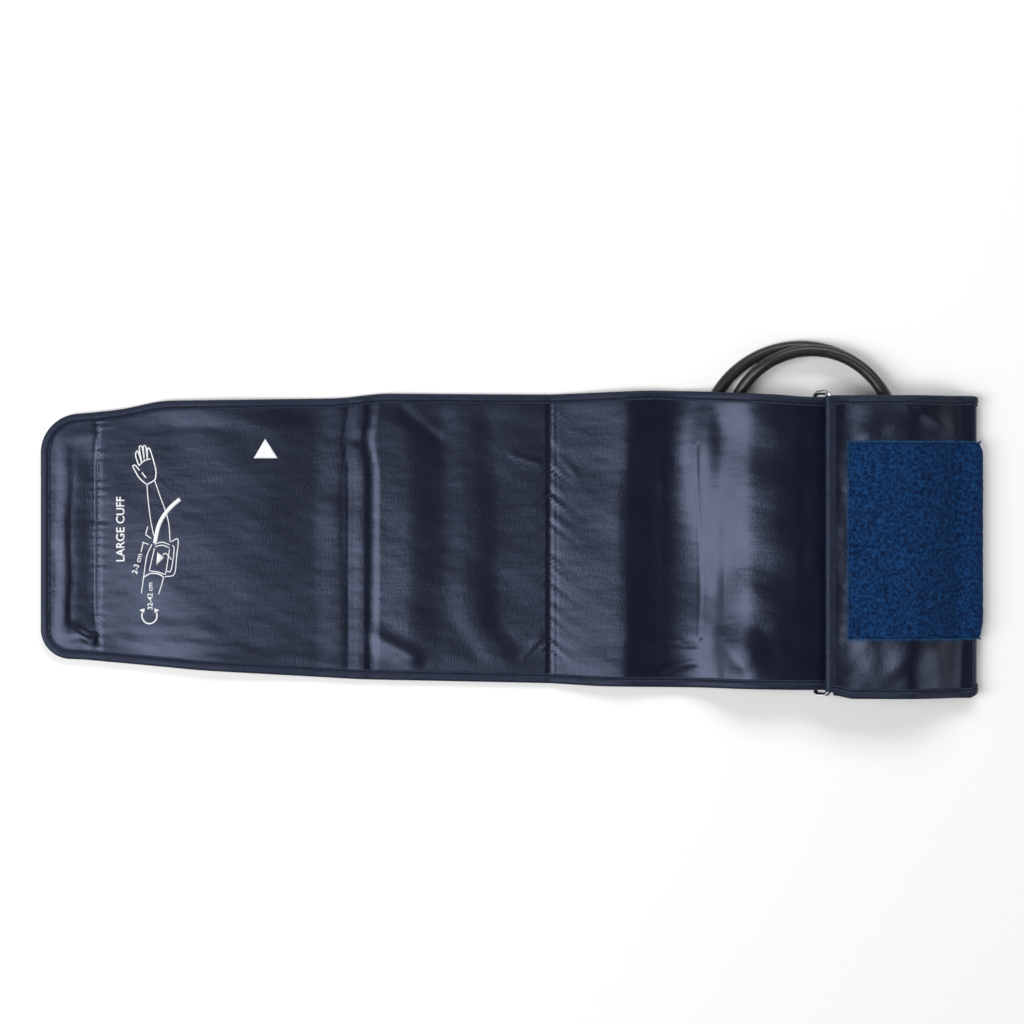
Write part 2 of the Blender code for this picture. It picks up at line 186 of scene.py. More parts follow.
def bump_field(s, y, size, seed):
    """Smooth irregular waves about size long, from about -1 to 1."""
    waves = np.random.default_rng(seed)
    total = np.zeros(np.broadcast(s, y).shape)
    for _ in range(9):
        turn = waves.uniform(0, 2 * math.pi)
        length = size * waves.uniform(0.6, 1.7)
        total += np.sin((s * math.cos(turn) + y * math.sin(turn)) * 2 * math.pi / length
                        + waves.uniform(0, 2 * math.pi))
    return total / 3.4


def waves_across(x, y, size, seed):
    """The same sort of waves, but they change only across the strip."""
    return bump_field(x * 0.0, y, size, seed)


def fold_line(x, y, start, end, height, width):
    """A soft fold between two points of the plan, the same on both its sides."""
    ax, ay = start
    bx, by = end
    length = math.hypot(bx - ax, by - ay)
    ux, uy = (bx - ax) / length, (by - ay) / length
    along = ((x - ax) * ux + (y - ay) * uy) / length
    off = -(x - ax) * uy + (y - ay) * ux
    ends = step(along, -0.15, 0.15) * (1.0 - step(along, 0.85, 1.15))
    return height * bell(off, 0.0, width) * ends


def folds(x, y, table):
    return sum(fold_line(x, y, *fold) for fold in table)


def puckers(x, y, seam_x, reach, pitch, height, seed):
    """Small gathers that run out of a seam across the strip."""
    wobble = 0.35 * waves_across(x, y, 3.7 * pitch, seed)
    wave = np.sin(2 * math.pi * (y / pitch + wobble))
    uneven = 0.55 + 0.45 * waves_across(x, y, 3.1 * pitch, seed + 50)
    return height * uneven * wave * np.exp(-np.abs(x - seam_x) / reach)


def rises(x, *parts):
    """A profile along the strip made of smooth rises, each (from x, to x, height)."""
    return sum(height * step(x, low, high) for low, high, height in parts)


def slopes(x, *parts):
    """Like rises, but each part is an even slope with short rounded ends, rounding wide."""
    total = 0.0
    for low, high, height, rounding in parts:
        first = (x - low + np.sqrt((x - low) ** 2 + rounding**2)) / 2
        last = (x - high + np.sqrt((x - high) ** 2 + rounding**2)) / 2
        total = total + height * (first - last) / (high - low)
    return total


def tip_inset(x, y):
    """The distance in from the nearest of the tip's three edges, with rounded corners."""
    low, high = edges(np.maximum(x, TIP_X + TIP_CORNER_R[1]))
    sharp = 280.0
    terms = np.exp(-sharp * (x - TIP_X)) + np.exp(-sharp * (y - low)) + np.exp(-sharp * (high - y))
    return -np.log(terms) / sharp


# Folds that lie askew in the tail: where each starts and ends in x and y, its height and its width
TAIL_FOLDS = [
    ((-0.079, -0.051), (-0.052, -0.067), 0.0007, 0.0046),
    ((0.076, -0.052), (0.100, -0.056), 0.0003, 0.0016),
    ((0.078, -0.058), (0.104, -0.060), 0.0003, 0.0014),
    ((0.116, -0.050), (0.131, -0.072), 0.0004, 0.0040),
    ((0.138, -0.046), (0.150, -0.072), -0.0004, 0.0070),
    ((0.084, -0.072), (0.104, -0.067), -0.0007, 0.0024),
    ((-0.248, -0.046), (-0.236, -0.058), 0.0005, 0.0024),
    ((-0.222, 0.050), (-0.196, 0.062), 0.00015, 0.0040),
    ((-0.210, -0.046), (-0.166, -0.050), 0.00022, 0.0040),
    ((-0.196, -0.056), (-0.150, -0.059), 0.00018, 0.0030),
    ((-0.222, -0.054), (-0.196, -0.060), 0.00016, 0.0030),
    ((-0.190, 0.066), (-0.150, 0.064), -0.00020, 0.0040),
    ((-0.150, -0.062), (-0.110, -0.066), 0.00016, 0.0034),
    ((-0.062, 0.076), (-0.040, 0.058), -0.0004, 0.0036),
    ((0.000, 0.050), (0.018, 0.045), 0.00020, 0.0016),
    ((0.006, -0.066), (0.018, -0.052), 0.00025, 0.0020),
    ((0.027, 0.050), (0.038, 0.038), 0.00020, 0.0022),
]


def loose_cloth(x, y, soft):
    """Long soft waves, then crinkles that run across the strip."""
    relief = 0.00050 * bump_field(x, y * 0.6, 0.095, 11) * soft
    relief += 0.00012 * bump_field(x, y * 0.9, 0.036, 12) * soft
    relief += 0.000035 * bump_field(x * 0.5, y, 0.012, 13) * soft
    return relief + 0.000015 * bump_field(x * 0.3, y, 0.0052, 16)


def tip_relief(x, y):
    """A fold that follows the edge round the hook patch, and the patch's gathered seam."""
    tip = 1.0 - step(x, -0.2352, -0.2332)
    depth = 0.75 + 0.25 * waves_across(x, y, 0.070, 18)
    inset = tip_inset(x, y) + 0.0009 * waves_across(x, y, 0.045, 19)
    relief = tip * depth * rises(inset, (0.0075, 0.0135, 0.0008), (0.0140, 0.0180, -0.0008))
    relief += tip * rises(inset, (0.0180, 0.0310, -0.0012))
    relief += (1.0 - tip) * 0.0003 * (1.0 - step(x, -0.2330, -0.2130))
    seam_x = -0.2336 + 0.0005 * waves_across(x, y, 0.028, 20)
    relief -= 0.00035 * bell(x, seam_x, 0.0014)
    return relief + puckers(x, y, -0.2330, 0.0028, 0.0054, 0.00022, 21)


def storage_folds(x, y, inside):
    """Two ridges where the tail is kept folded, both kinked near the back edge."""
    kink = 0.0022 * bell(y, 0.058, 0.010) + 0.0005 * waves_across(x, y, 0.060, 17)
    xk = x + kink
    inner = 0.35 + 0.65 * step(inside, 0.004, 0.02)
    relief = rises(xk, (-0.0912, -0.0845, 0.0004), (-0.0832, -0.0790, -0.0006))
    relief -= 0.00012 * bell(xk, -0.0922, 0.0011)
    relief += inner * rises(xk, (-0.0782, -0.0738, 0.0007), (-0.0730, -0.0560, 0.0002))
    relief -= inner * rises(xk, (-0.0590, -0.0370, 0.0010))
    return relief - 0.0005 * bell(y, 0.058, 0.0035) * bell(x, -0.0862, 0.0050)


def swung_ridge(x, y):
    """A soft ridge that swings towards the ring near the front edge."""
    swing = 0.016 * step(-y, 0.028, 0.068) ** 2 - 0.004 * step(y, 0.020, 0.075)
    return rises(x - swing, (-0.0370, -0.0235, 0.0005), (-0.0210, -0.0060, -0.0006))


def pocket_seam(x, y, soft):
    """The bladder pocket's seam, gathered on both sides."""
    lean = y + 0.8 * np.abs(x - TAIL_CREASE_X)
    relief = puckers(x, lean, TAIL_CREASE_X, 0.0040, 0.0064, 0.00022, 22) * soft
    relief += puckers(x, lean, TAIL_CREASE_X + 0.003, 0.0060, 0.0117, 0.00013, 23) * soft
    relief -= 0.00060 * bell(x, TAIL_CREASE_X, 0.0012)
    return relief - 0.00030 * bell(x, TAIL_CREASE_X + 0.0030, 0.0009)


def bladder_rise(x, y, xs):
    """The bladder lifts it up to the patch sewn on below, which shows as a faint panel."""
    panel_y = step(y, -0.0545, -0.0530) * (1.0 - step(y, 0.0556, 0.0570))
    relief = slopes(xs, (0.0250, 0.0640, 0.0051, 0.0022), (0.0660, 0.0830, -0.0022, 0.0030))
    relief += slopes(xs, (0.0830, 0.1020, -0.0013, 0.0050))
    relief += 0.00010 * step(x, 0.0630, 0.0665) * (1.0 - step(x, 0.1060, 0.1076)) * panel_y
    return relief - 0.00040 * bell(x, 0.1058, 0.0008) * panel_y


def hose_climb(x, y):
    """The climb over the hose, later than the smooth path's, and the way down to the ring.

    It starts sooner over the hose and over the port than between them, and two soft swellings
    give the pile room over the hose's first turn, and the cloth room over the port.
    """
    sooner = np.maximum(step(y, -0.025, 0.012), step(-y, 0.026, 0.056))
    relief = sooner * slopes(x, HOSE_SIDE_CLIMB) + (1.0 - sooner) * slopes(x, FREE_SIDE_CLIMB)
    relief += FLAT_Z - lower_z(x) + slopes(x, *BEFORE_RING)
    relief += 0.0038 * bell(x, 0.1092, 0.0095) * bell(y, 0.051, 0.031)
    relief += 0.0016 * bell(x, 0.1260, 0.0120) * bell(y, -0.0620, 0.0120)
    wavy = step(x, 0.112, 0.126) * (1.0 - step(x, 0.160, 0.172))
    return relief + 0.00045 * bump_field(x * 0.6, y * 0.8, 0.036, 14) * wavy


def tail_relief(x, y):
    """How far the tail's cloth stands off its smooth path, upwards."""
    low, high = edges(x)
    inside = np.minimum(y - low, high - y)
    soft = step(inside, 0.0050, 0.0160)
    xs = x + 0.0016 * bump_field(x * 0.15, y, 0.110, 15)

    # The whole tail lies a little off the floor. Broad slopes between the tip and the folds turn
    # the cloth towards and away from the light
    relief = 0.0010 * (1.0 - step(x, 0.100, 0.120))
    relief += rises(xs, (-0.2140, -0.1660, 0.0012), (-0.1660, -0.1000, -0.0024))
    relief += rises(xs, (-0.1120, -0.0985, 0.0004), (-0.0975, -0.0925, -0.0002))
    relief += loose_cloth(x, y, soft) + folds(x, y, TAIL_FOLDS)
    relief += tip_relief(x, y) + storage_folds(x, y, inside) + soft * swung_ridge(x, y)
    relief += pocket_seam(x, y, soft) + bladder_rise(x, y, xs) + hose_climb(x, y)
    return relief * (1.0 - step(x, 0.1735, 0.1780))


FLAP_FOLDS = [
    ((0.192, -0.082), (0.236, -0.058), 0.0008, 0.0080),
    ((0.214, -0.086), (0.252, -0.070), 0.0006, 0.0060),
    ((0.196, 0.060), (0.230, 0.074), 0.0008, 0.0050),
    ((0.218, 0.080), (0.250, 0.062), 0.0006, 0.0042),
]


def flap_relief(x, y):
    """How far the flap's cloth stands off its smooth path, upwards."""
    relief = 0.00030 * bump_field(x, y, 0.050, 31) + 0.00014 * bump_field(x, y, 0.018, 32)
    relief += 0.0022 * step(y, -0.0860, -0.0520) * step(x, 0.1830, 0.2060)
    relief += 0.0028 * step(x, 0.1880, 0.2320)
    relief -= 0.0010 * step(y, 0.0520, 0.0800)
    relief += folds(x, y, FLAP_FOLDS) + puckers(x, y, 0.1835, 0.0045, 0.0080, 0.00018, 33)
    return relief * (1.0 - step(x, 0.2360, 0.2598)) * step(x, 0.1815, 0.1880)


def smooth_path(s):
    """The middle plane's x and z at s, and its normal's, without any relief."""
    s = np.asarray(s, float)
    turn = np.clip((s - FOLD_X) / FOLD_R, 0.0, math.pi) - math.pi / 2
    x_out = np.where(s <= FOLD_X, s, FOLD_END + FOLD_X - s)
    tiny = 0.0001
    slope = (lower_z(x_out + tiny) - lower_z(x_out - tiny)) / (2 * tiny)
    size = np.sqrt(1.0 + slope**2)
    on_fold = (s > FOLD_X) & (s < FOLD_END)
    up = np.where(s <= FOLD_X, 1.0, -1.0)
    centre_z = lower_z(FOLD_X) + FOLD_R
    x = np.where(on_fold, FOLD_X + FOLD_R * np.cos(turn), x_out)
    z = np.where(on_fold, centre_z + FOLD_R * np.sin(turn),
                 lower_z(x_out) + np.where(s <= FOLD_X, 0.0, LAYER_GAP))
    nx = np.where(on_fold, -np.cos(turn), -slope * up / size)
    nz = np.where(on_fold, -np.sin(turn), up / size)
    return x, z, nx, nz


def at(s, y, d):
    """Points of the strip, relief and all, as an array whose last axis is x, y, z."""
    s, y, d = np.broadcast_arrays(np.asarray(s, float), np.asarray(y, float), np.asarray(d, float))
    x, z, nx, nz = smooth_path(s)
    x_out = np.where(s <= FOLD_X, s, FOLD_END + FOLD_X - s)
    lift = np.where(s <= FOLD_X, tail_relief(x_out, y), -flap_relief(x_out, y))
    lift = np.where((s > FOLD_X) & (s < FOLD_END), 0.0, lift)
    reach = d + lift
    return np.stack([x + nx * reach, y, z + nz * reach], axis=-1)


def normal_at(s, y, d):
    """Unit normals there, out of the face that touches the arm."""
    tiny = 0.00012
    along = at(s + tiny, y, d) - at(s - tiny, y, d)
    across = at(s, y + tiny, d) - at(s, y - tiny, d)
    normal = np.cross(along, across)
    return normal / np.linalg.norm(normal, axis=-1, keepdims=True)


def bulge(s, y):
    """How far the arm's face stands off for the bladder."""
    low, high = edges(s)
    along = step(s, 0.0243, 0.0330) - step(s, 0.2450, 0.2530)
    across = step(y, low + 0.0062, low + 0.0115) * (1.0 - step(y, high - 0.0115, high - 0.0062))
    return BULGE * along * across


# ---- Mesh building -----------------------------------------------------------------------------

def new_object(name, vertices, faces, look, normals=None, sharp=None):
    mesh = bpy.data.meshes.new(name)
    mesh.from_pydata([tuple(v) for v in vertices], [], faces)
    mesh.materials.append(look)
    mesh.shade_smooth()
    if sharp is not None:
        mesh.set_sharp_from_angle(angle=math.radians(sharp))
    if normals is not None:
        mesh.normals_split_custom_set_from_vertices([tuple(n) for n in normals])
    mesh.update()
    made = bpy.data.objects.new(name, mesh)
    bpy.context.scene.collection.objects.link(made)
    return made


def grid_faces(rows, columns, first=0, flip=False):
    faces = []
    for i in range(rows - 1):
        for j in range(columns - 1):
            a = first + i * columns + j
            face = (a, a + columns, a + columns + 1, a + 1)
            faces.append(face[::-1] if flip else face)
    return faces


def rim_faces(rows, columns, offset):
    """Faces that close the gap between two grids, the second one offset vertices on."""
    ring = [i * columns for i in range(rows)]
    ring += [(rows - 1) * columns + j for j in range(1, columns)]
    ring += [i * columns + columns - 1 for i in range(rows - 2, -1, -1)]
    ring += [j for j in range(columns - 2, 0, -1)]
    faces = []
    for a, b in zip(ring, ring[1:] + ring[:1]):
        faces.append((a, a + offset, b + offset, b))
    return faces


def tube_faces(rows, columns, first=0):
    """Faces of a capped tube: rows rings of columns vertices each, from vertex first on."""
    faces = []
    for i in range(rows - 1):
        for j in range(columns):
            a = first + i * columns + j
            b = first + i * columns + (j + 1) % columns
            faces.append((a, b, b + columns, a + columns))
    last = first + (rows - 1) * columns
    faces.append(tuple(first + j for j in range(columns))[::-1])
    faces.append(tuple(last + j for j in range(columns)))
    return faces


def face_outwards(made):
    """Turns the mesh's faces round where they look inwards."""
    mesh = made.data
    mesh.calc_loop_triangles()
    points = np.empty(len(mesh.vertices) * 3)
    mesh.vertices.foreach_get("co", points)
    points = points.reshape(-1, 3)
    corners = np.empty(len(mesh.loop_triangles) * 3, dtype=np.int32)
    mesh.loop_triangles.foreach_get("vertices", corners)
    a, b, c = (points[corners.reshape(-1, 3)[:, k]] for k in range(3))
    volume = float((a * np.cross(b, c)).sum() / 6)
    if volume < 0.0:
        mesh.flip_normals()


def distances(points):
    """The length along a line of points, at each of them."""
    return np.concatenate([[0.0], np.cumsum(np.linalg.norm(np.diff(points, axis=0), axis=1))])


def directions(line):
    """Unit vectors along a line of points, at each of them."""
    tangent = np.gradient(line, axis=0)
    return tangent / np.linalg.norm(tangent, axis=1, keepdims=True)


def smooth_line(points, steps):
    """The smooth line through points, in steps pieces from each point to the next."""
    p = [np.array(q, float) for q in points]
    padded = [2 * p[0] - p[1], *p, 2 * p[-1] - p[-2]]
    line = []
    for p0, p1, p2, p3 in zip(padded, padded[1:], padded[2:], padded[3:]):
        for k in range(steps):
            t = k / steps
            line.append(0.5 * (2 * p1 + (p2 - p0) * t + (2 * p0 - 5 * p1 + 4 * p2 - p3) * t**2
                               + (3 * p1 - p0 - 3 * p2 + p3) * t**3))
    line.append(p[-1])
    return np.array(line)


def shell(name, s, y, d, thickness, look, extra=None):
    """A closed sheet about d over the middle plane at the grid of s and y. extra moves its lower face out."""
    rows, columns = s.shape
    top = at(s, y, d + thickness / 2)
    low_d = d - thickness / 2 - (0.0 if extra is None else extra)
    bottom = at(s, y, low_d)
    up = normal_at(s, y, d)
    down = -normal_at(s, y, d)
    vertices = np.concatenate([top.reshape(-1, 3), bottom.reshape(-1, 3)])
    normals = np.concatenate([up.reshape(-1, 3), down.reshape(-1, 3)])
    count = rows * columns
    faces = grid_faces(rows, columns) + grid_faces(rows, columns, count, flip=True)
    faces += rim_faces(rows, columns, count)
    return new_object(name, vertices, faces, look, None if extra is not None else normals)


def stations(start, end, fine=None):
    """Places along the strip, closer together round the fold."""
    fine = fine or FINE
    marks = [start] + [m for m in (FOLD_X, FOLD_END) if start < m < end] + [end]
    line = [start]
    for low, high in zip(marks[:-1], marks[1:]):
        gap = min(fine, 0.0008) if abs(low - FOLD_X) < 1e-9 else fine
        count = max(2, math.ceil((high - low) / gap))
        line += list(np.linspace(low, high, count + 1)[1:])
    return np.array(line)


def tip_stations(start_inset, end):
    corner = TIP_CORNER_R[1] - start_inset
    angles = np.radians(np.linspace(0, 90, 20))
    curved = TIP_X + start_inset + corner * (1 - np.cos(angles))
    return np.concatenate([curved[:-1], stations(curved[-1], end)])


def strip_grid(line, inset):
    """s and y over the strip's whole width at the places in line."""
    low, high = edges(line, inset)
    columns = math.ceil(0.165 / (FINE * 1.15))
    share = np.linspace(0.0, 1.0, columns)
    y = low[:, None] + (high - low)[:, None] * share[None, :]
    s = np.repeat(line[:, None], columns, axis=1)
    return s, y


def band_grid(line, low, high, gap):
    columns = max(3, math.ceil((high - low) / gap) + 1)
    y = np.repeat(np.linspace(low, high, columns)[None, :], len(line), axis=0)
    return np.repeat(line[:, None], columns, axis=1), y


# ---- Materials ---------------------------------------------------------------------------------

class Look:
    """A material under construction, with short calls for the nodes that it needs."""

    def __init__(self, name, colour, roughness, **sockets):
        self.material = bpy.data.materials.new(name)
        self.material.use_nodes = True
        self.tree = self.material.node_tree
        self.shader = self.tree.nodes["Principled BSDF"]
        self.shader.inputs["Base Color"].default_value = (*colour, 1.0)
        self.shader.inputs["Roughness"].default_value = roughness
        for socket, value in sockets.items():
            self.shader.inputs[socket.replace("_", " ")].default_value = value
        self.where = self.node("ShaderNodeTexCoord").outputs["Object"]
        self.bumps = None

    def node(self, kind, **values):
        made = self.tree.nodes.new(kind)
        for name, value in values.items():
            if name in made.inputs:
                made.inputs[name].default_value = value
            else:
                setattr(made, name, value)
        return made

    def link(self, a, b):
        self.tree.links.new(a, b)

    def stretched(self, scale, turn=0.0):
        mapping = self.node("ShaderNodeMapping")
        mapping.inputs["Scale"].default_value = scale
        mapping.inputs["Rotation"].default_value = (0.0, 0.0, turn)
        self.link(self.where, mapping.inputs["Vector"])
        return mapping.outputs["Vector"]

    def noise(self, scale, detail=3.0, rough=0.5, stretch=None):
        made = self.node("ShaderNodeTexNoise", Scale=scale, Detail=detail, Roughness=rough)
        self.link(self.stretched(stretch) if stretch else self.where, made.inputs["Vector"])
        return made.outputs["Fac"]

    def voronoi(self, scale):
        made = self.node("ShaderNodeTexVoronoi", Scale=scale)
        self.link(self.where, made.inputs["Vector"])
        return made.outputs["Distance"]

    def wave(self, scale, direction="X", distortion=0.0, turn=0.0):
        made = self.node("ShaderNodeTexWave", Scale=scale, Distortion=distortion)
        made.bands_direction = direction
        made.inputs["Detail"].default_value = 1.0
        self.link(self.stretched((1, 1, 1), turn), made.inputs["Vector"])
        return made.outputs["Fac"]

    def colour(self, value, stops):
        made = self.node("ShaderNodeValToRGB")
        elements = made.color_ramp.elements
        while len(elements) < len(stops):
            elements.new(0.5)
        for element, (place, colour) in zip(elements, stops):
            element.position = place
            element.color = (*colour, 1.0)
        self.link(value, made.inputs["Fac"])
        self.link(made.outputs["Color"], self.shader.inputs["Base Color"])

    def roughness(self, value, low, high):
        made = self.node("ShaderNodeMapRange")
        made.inputs["To Min"].default_value = low
        made.inputs["To Max"].default_value = high
        self.link(value, made.inputs["Value"])
        self.link(made.outputs["Result"], self.shader.inputs["Roughness"])

    def bump(self, value, distance, strength=1.0):
        made = self.node("ShaderNodeBump", Distance=distance, Strength=strength)
        self.link(value, made.inputs["Height"])
        if self.bumps is not None:
            self.link(self.bumps, made.inputs["Normal"])
        self.bumps = made.outputs["Normal"]
        self.link(self.bumps, self.shader.inputs["Normal"])


def nylon(name, dark, light, rough):
    """Coated nylon: a fine plain weave, soft mottling, and a low silky gloss."""
    look = Look(name, dark, rough[0], Specular_IOR_Level=0.55)
    look.shader.inputs["Specular Tint"].default_value = (0.58, 0.68, 1.0, 1.0)
    look.colour(look.noise(26.0, 5.0, 0.6), [(0.30, dark), (0.72, light)])
    look.roughness(look.noise(60.0, 4.0, 0.6), *rough)
    look.bump(look.noise(420.0, 2.0, 0.5, (0.25, 1.0, 1.0)), 0.00010, 0.6)
    look.bump(look.noise(820.0, 2.0, 0.6, (1.0, 0.3, 1.0)), 0.00009, 0.7)
    look.bump(look.wave(640.0, "X", 0.8), 0.00002, 0.35)
    look.bump(look.wave(640.0, "Y", 0.8), 0.00002, 0.35)
    return look.material


def tape(name):
    """Binding tape: a ribbed weave that runs across its length."""
    dark, light = (0.0014, 0.0024, 0.0078), (0.0085, 0.0135, 0.0310)
    look = Look(name, dark, 0.50, Specular_IOR_Level=0.45)
    look.shader.inputs["Specular Tint"].default_value = (0.60, 0.70, 1.0, 1.0)
    look.colour(look.noise(460.0, 4.0, 0.7), [(0.34, dark), (0.74, light)])
    look.roughness(look.noise(90.0), 0.42, 0.60)
    look.bump(look.wave(330.0, "X", 1.5, math.radians(28)), 0.00008, 0.6)
    look.bump(look.noise(620.0, 3.0, 0.6), 0.00013, 0.8)
    return look.material


def pile(name):
    """Loop pile: a blue fuzz of small loops, lighter where the tufts catch the light."""
    dark, middle, light = (0.0010, 0.0078, 0.0330), (0.0030, 0.0220, 0.0800), (0.0075, 0.0510, 0.1620)
    look = Look(name, middle, 0.95, Specular_IOR_Level=0.12, Sheen_Weight=0.10, Sheen_Roughness=0.4)
    look.shader.inputs["Sheen Tint"].default_value = (0.12, 0.42, 0.90, 1.0)
    look.colour(look.noise(500.0, 5.0, 0.65), [(0.37, dark), (0.50, middle), (0.68, light)])
    look.bump(look.voronoi(900.0), 0.0004, 0.9)
    look.bump(look.noise(1300.0, 4.0, 0.7), 0.0003, 0.8)
    return look.material


def plain(name, colour, rough, bump_scale, bump_height, light=None, **sockets):
    """One even material with fine grain and a slight change of roughness."""
    look = Look(name, colour, rough[0], **sockets)
    if light is not None:
        look.colour(look.noise(bump_scale * 0.25, 4.0, 0.6), [(0.35, colour), (0.75, light)])
    look.roughness(look.noise(bump_scale * 0.4, 3.0), *rough)
    look.bump(look.noise(bump_scale, 3.0), bump_height, 0.5)
    return look.material


def make_looks():
    return {
        "arm": nylon("arm_nylon_look", (0.0022, 0.0030, 0.0085), (0.0038, 0.0052, 0.0130), (0.25, 0.36)),
        "outer": nylon("outer_nylon_look", (0.0022, 0.0030, 0.0080), (0.0036, 0.0050, 0.0120), (0.26, 0.38)),
        "tape": tape("binding_look"),
        "thread": plain("thread_look", (0.0035, 0.0050, 0.0130), (0.6, 0.8), 2600.0, 0.00003,
                        (0.008, 0.011, 0.025), Specular_IOR_Level=0.2),
        "pile": pile("loop_pile_look"),
        # The loose loops' lighter blue is a painted highlight along the pile's edges.
        "fuzz_highlight": plain("fuzz_painted_highlight_look", (0.008, 0.075, 0.230), (0.8, 0.95), 900.0, 0.00010,
                      (0.020, 0.150, 0.380)),
        "hook": plain("hook_tape_look", (0.008, 0.010, 0.022), (0.55, 0.8), 1500.0, 0.0003,
                      (0.018, 0.022, 0.044)),
        "steel": plain("plated_wire_look", (0.78, 0.78, 0.80), (0.12, 0.26), 900.0, 0.00001,
                       Metallic=1.0),
        "hose": plain("hose_rubber_look", (0.0075, 0.0075, 0.0085), (0.30, 0.44), 700.0, 0.00004,
                      (0.014, 0.014, 0.016)),
        "port": plain("port_rubber_look", (0.012, 0.012, 0.013), (0.45, 0.6), 800.0, 0.00004,
                      (0.020, 0.020, 0.022)),
        "plug": plain("plug_plastic_look", (0.010, 0.010, 0.011), (0.28, 0.38), 900.0, 0.00002,
                      (0.014, 0.014, 0.016)),
        "ink": plain("white_ink_look", (0.72, 0.73, 0.76), (0.50, 0.65), 900.0, 0.00002,
                     (0.84, 0.85, 0.87)),
    }


# ---- Hose --------------------------------------------------------------------------------------

def turn_points(turn, first, last, count, low_z, high_z):
    """Points on a turn from angle first to last, in degrees, as it goes from low_z to high_z."""
    x, y, radius = turn
    share = np.arange(count + 1) / count
    angle = np.radians(first + (last - first) * share)
    z = low_z + (high_z - low_z) * step(share, 0.0, 1.0)
    places = zip(x + radius * np.cos(angle), y + radius * np.sin(angle), z)
    return [Vector(p) for p in places]


def hose_route():
    """From the nozzle: a bend, a turn on the floor, back inwards, a second turn over the first, the plug."""
    nozzle_end = PORT + Vector((0.0, NOZZLE_LENGTH + 0.0003, 0.0))
    lead_in = [nozzle_end, nozzle_end + Vector((0.0, 0.0117, -0.0004))]
    bend = turn_points(LEAD_BEND, 180, 96, 4, 0.0074, FLOOR_HOSE_Z)
    first_turn = turn_points(TURN_1, 277, 540, 12, FLOOR_HOSE_Z, FLOOR_HOSE_Z)
    inward = [
        Vector((0.1110, 0.0390, FLOOR_HOSE_Z)),
        Vector((0.1195, 0.0260, FLOOR_HOSE_Z)),
        Vector((0.1330, 0.0178, FLOOR_HOSE_Z)),
        Vector((0.1500, 0.0152, FLOOR_HOSE_Z)),
    ]
    along_floor = turn_points(TURN_2, -82, -65, 1, FLOOR_HOSE_Z, FLOOR_HOSE_Z)
    climb = turn_points(TURN_2, -50, 6, 5, FLOOR_HOSE_Z, UPPER_HOSE_Z)
    over = turn_points(TURN_2, 20, 102, 6, UPPER_HOSE_Z, UPPER_HOSE_Z)
    descent = turn_points(TURN_2, 117, 162, 4, 0.0100, 0.0038)
    end = [Vector((0.1241, 0.0670, 0.0043)), Vector((0.1238, 0.0580, PLUG_R))]
    return lead_in + bend + first_turn + inward + along_floor + climb + over + descent + end


def even_curve(points, gap):
    """Points spaced about gap apart on the smooth curve through points."""
    fine = smooth_line(points, 24)
    along = distances(fine)
    wanted = np.linspace(0.0, along[-1], math.ceil(along[-1] / gap) + 1)
    return np.stack([np.interp(wanted, along, fine[:, k]) for k in range(3)], axis=1)


def curve_tube(name, points, radius, look, cyclic=False, resolution=6):
    data = bpy.data.curves.new(name, "CURVE")
    data.dimensions = "3D"
    data.bevel_depth = radius
    data.bevel_resolution = resolution
    data.use_fill_caps = not cyclic
    line = data.splines.new("POLY")
    line.points.add(len(points) - 1)
    for spot, point in zip(line.points, points):
        spot.co = (*point, 1.0)
    line.use_cyclic_u = cyclic
    line.use_smooth = True
    made = bpy.data.objects.new(name, data)
    made.data.materials.append(look)
    bpy.context.scene.collection.objects.link(made)
    return made


def turned(name, profile, place, look, sides=40):
    """A turned piece: profile is (radius, height) pairs from its low end up, place sets it down."""
    vertices = []
    for radius, height in profile:
        for k in range(sides):
            a = 2 * math.pi * k / sides
            vertices.append(place @ Vector((radius * math.cos(a), radius * math.sin(a), height)))
    return new_object(name, vertices, tube_faces(len(profile), sides), look, sharp=32)


def make_plug(line, looks):
    """The ribbed plug on the hose's far end."""
    forward = Vector(line[-1] - line[-2]).normalized()
    start = Vector(line[-1]) + forward * 0.0002
    place = Matrix.Translation(start) @ forward.to_track_quat("Z", "Y").to_matrix().to_4x4()
    ribs = []
    for k in range(5):
        low = 0.0020 + k * 0.0016
        ribs += [(0.0040, low), (0.0045, low + 0.0003), (0.0045, low + 0.0010), (0.0040, low + 0.0013)]
    profile = [(0.0034, 0.0), (0.0041, 0.0006), (0.0042, 0.0017), *ribs,
               (0.0040, 0.0105), (0.0045, 0.0110), (0.0045, 0.0145), (0.0042, 0.0150),
               (0.0028, 0.0151), (0.0026, 0.0156), (0.0026, 0.0180), (0.0022, 0.0183),
               (0.0022, 0.0190), (0.0026, 0.0193), (0.0026, 0.0240), (0.0019, 0.0250)]
    plug = turned("air_plug_look", profile, place, looks["plug"])
    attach(plug, "cuff")
    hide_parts("air_plug")
    return plug


def make_hose(looks):
    line = even_curve(hose_route(), 0.0035)
    hose = curve_tube("air_hose_look", line, HOSE_D / 2, looks["hose"])
    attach(hose, "cuff")
    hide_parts("air_hose")
    plug = make_plug(line, looks)


